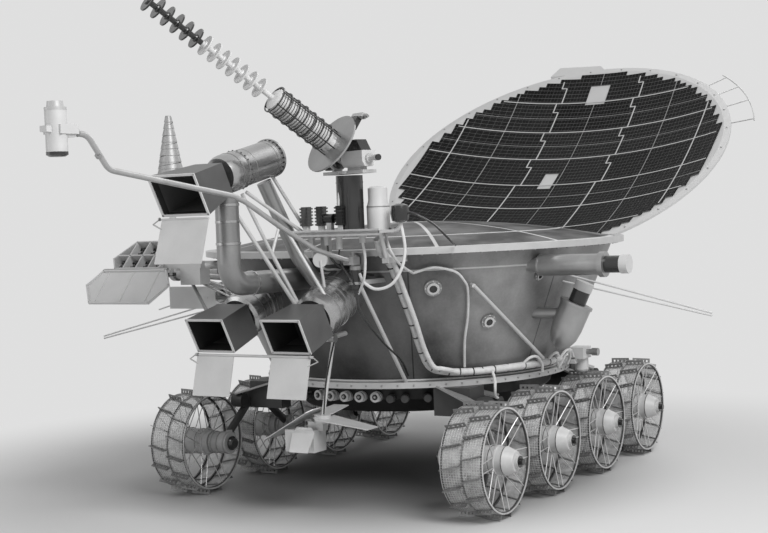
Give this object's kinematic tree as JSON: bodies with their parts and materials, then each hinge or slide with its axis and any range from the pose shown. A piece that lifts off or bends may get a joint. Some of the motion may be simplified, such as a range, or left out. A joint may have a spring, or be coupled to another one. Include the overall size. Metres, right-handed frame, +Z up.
{
  "type": "eight-wheeled planetary rover",
  "caption": "Planetary rover: a conical instrument tub with a hinged solar lid, wire wheels on swing arms, hooded cameras and a steerable antenna.",
  "frame": {"origin": "middle of the whole rover's bounding box, on the ground under the wheels", "axes": "+X forward, +Y to the rover's left, +Z up"},
  "size_m": [5.5761, 3.2024, 2.2515],
  "materials": {
    "wall_metal": "dull grey painted magnesium wall, streaked",
    "rim_metal": "pale machined flange",
    "radiator": "dark radiator panels with pale strips",
    "belly_black": "matt black",
    "bare_metal": "machined aluminium",
    "camera_silver": "polished metal cans",
    "hood_metal": "grey outside, black inside",
    "pipe_metal": "brushed tube",
    "mast_black": "gloss black",
    "reflector_dark": "dark prisms in a frame",
    "photometer_black": "dark grey cans",
    "cone_white": "ribbed pale cone",
    "heater_metal": "ribbed grey can",
    "suspension_metal": "grey paint",
    "lid_white": "pale paint",
    "solar_cells": "dark solar cells with pale seams",
    "turret_grey": "grey painted gearbox",
    "antenna_white": "pale discs, black towards the tip",
    "cover_white": "pale ribbed cover",
    "wheel_metal": "bare steel",
    "hub_white": "white painted hub"
  },
  "bodies": {
    "chassis": {"tub": "wall_metal", "rim_flange": "rim_metal", "radiator_deck": "radiator", "ledge_ring": "rim_metal", "belly": "belly_black", "lid_hinge": "bare_metal", "camera_barrels": "camera_silver", "camera_hoods": "hood_metal", "camera_supports": "pipe_metal", "instrument_platform": "rim_metal", "antenna_mast": "mast_black", "laser_reflector": "reflector_dark", "boom_drive": "mast_black", "spectrometer_bracket": "bare_metal", "telephotometers": "photometer_black", "cone_antenna": "cone_white", "whip_antennas": "bare_metal", "isotope_heat_source": "heater_metal", "odometer_bracket": "bare_metal", "soil_penetrometer": "pipe_metal", "suspension_front_left": "suspension_metal", "suspension_front_right": "suspension_metal", "suspension_rear_left": "suspension_metal", "suspension_rear_right": "suspension_metal"},
    "lid": {"lid_dish": "lid_white", "solar_array": "solar_cells"},
    "antenna_azimuth": {"antenna_turret": "turret_grey"},
    "antenna_elevation": {"helical_antenna": "antenna_white"},
    "upper_flap": {"upper_camera_flap": "hood_metal"},
    "lower_flaps": {"lower_camera_flaps": "hood_metal"},
    "reflector_lid": {"reflector_cover": "cover_white"},
    "boom": {"magnetometer_boom": "pipe_metal"},
    "spectrometer_arm": {"spectrometer": "cover_white"},
    "odometer_swing": {"odometer_arm": "bare_metal"},
    "odometer_roller": {"odometer_wheel": "wheel_metal"},
    "wheel_1_left": {"wheel_1_left": "wheel_metal", "hub_1_left": "hub_white"},
    "wheel_1_right": {"wheel_1_right": "wheel_metal", "hub_1_right": "hub_white"},
    "wheel_2_left": {"wheel_2_left": "wheel_metal", "hub_2_left": "hub_white"},
    "wheel_2_right": {"wheel_2_right": "wheel_metal", "hub_2_right": "hub_white"},
    "wheel_3_left": {"wheel_3_left": "wheel_metal", "hub_3_left": "hub_white"},
    "wheel_3_right": {"wheel_3_right": "wheel_metal", "hub_3_right": "hub_white"},
    "wheel_4_left": {"wheel_4_left": "wheel_metal", "hub_4_left": "hub_white"},
    "wheel_4_right": {"wheel_4_right": "wheel_metal", "hub_4_right": "hub_white"}
  },
  "joints": [
    {"name": "roll_1_left", "type": "hinge", "parent": "chassis", "child": "wheel_1_left", "pos_m": [0.69, 0.8, 0.255], "axis": [0, 1, 0], "continuous": true},
    {"name": "roll_1_right", "type": "hinge", "parent": "chassis", "child": "wheel_1_right", "pos_m": [0.69, -0.8, 0.255], "axis": [0, 1, 0], "continuous": true},
    {"name": "roll_2_left", "type": "hinge", "parent": "chassis", "child": "wheel_2_left", "pos_m": [0.12333, 0.8, 0.255], "axis": [0, 1, 0], "continuous": true},
    {"name": "roll_2_right", "type": "hinge", "parent": "chassis", "child": "wheel_2_right", "pos_m": [0.12333, -0.8, 0.255], "axis": [0, 1, 0], "continuous": true},
    {"name": "roll_3_left", "type": "hinge", "parent": "chassis", "child": "wheel_3_left", "pos_m": [-0.44333, 0.8, 0.255], "axis": [0, 1, 0], "continuous": true},
    {"name": "roll_3_right", "type": "hinge", "parent": "chassis", "child": "wheel_3_right", "pos_m": [-0.44333, -0.8, 0.255], "axis": [0, 1, 0], "continuous": true},
    {"name": "roll_4_left", "type": "hinge", "parent": "chassis", "child": "wheel_4_left", "pos_m": [-1.01, 0.8, 0.255], "axis": [0, 1, 0], "continuous": true},
    {"name": "roll_4_right", "type": "hinge", "parent": "chassis", "child": "wheel_4_right", "pos_m": [-1.01, -0.8, 0.255], "axis": [0, 1, 0], "continuous": true},
    {"name": "lid_swing", "type": "hinge", "parent": "chassis", "child": "lid", "pos_m": [-1.09, 0, 1.15], "axis": [0, -1, 0], "range_deg": [-146.5, 33.5]},
    {"name": "antenna_turn", "type": "hinge", "parent": "chassis", "child": "antenna_azimuth", "pos_m": [0.99, 0.345, 1.518], "axis": [0, 0, 1], "range_deg": [-100, 150]},
    {"name": "antenna_tilt", "type": "hinge", "parent": "antenna_azimuth", "child": "antenna_elevation", "pos_m": [0.99, 0.345, 1.58], "axis": [-0.4051, -0.9143, 0], "range_deg": [-24, 56]},
    {"name": "upper_flap_swing", "type": "hinge", "parent": "chassis", "child": "upper_flap", "pos_m": [1.686, 0, 1.354], "axis": [0, -1, 0], "range_deg": [0, 134]},
    {"name": "lower_flap_swing", "type": "hinge", "parent": "chassis", "child": "lower_flaps", "pos_m": [1.274, 0, 0.755], "axis": [0, -1, 0], "range_deg": [0, 134]},
    {"name": "reflector_cover_swing", "type": "hinge", "parent": "chassis", "child": "reflector_lid", "pos_m": [1.148, -0.745, 1.128], "axis": [0, -1, 0], "range_deg": [-30, 130]},
    {"name": "boom_swing", "type": "hinge", "parent": "chassis", "child": "boom", "pos_m": [0.962, 0.34, 1.122], "axis": [0, 0, 1], "range_deg": [0, 90]},
    {"name": "spectrometer_swing", "type": "hinge", "parent": "chassis", "child": "spectrometer_arm", "pos_m": [0.84, 0.13, 0.79], "axis": [0, -1, 0], "range_deg": [-12, 25]},
    {"name": "odometer_lift", "type": "hinge", "parent": "chassis", "child": "odometer_swing", "pos_m": [-0.86, -0.27, 0.42], "axis": [0, 1, 0], "range_deg": [0, 40]},
    {"name": "odometer_roll", "type": "hinge", "parent": "odometer_swing", "child": "odometer_roller", "pos_m": [-1.12, -0.232, 0.104], "axis": [0, 1, 0], "continuous": true}
  ]
}
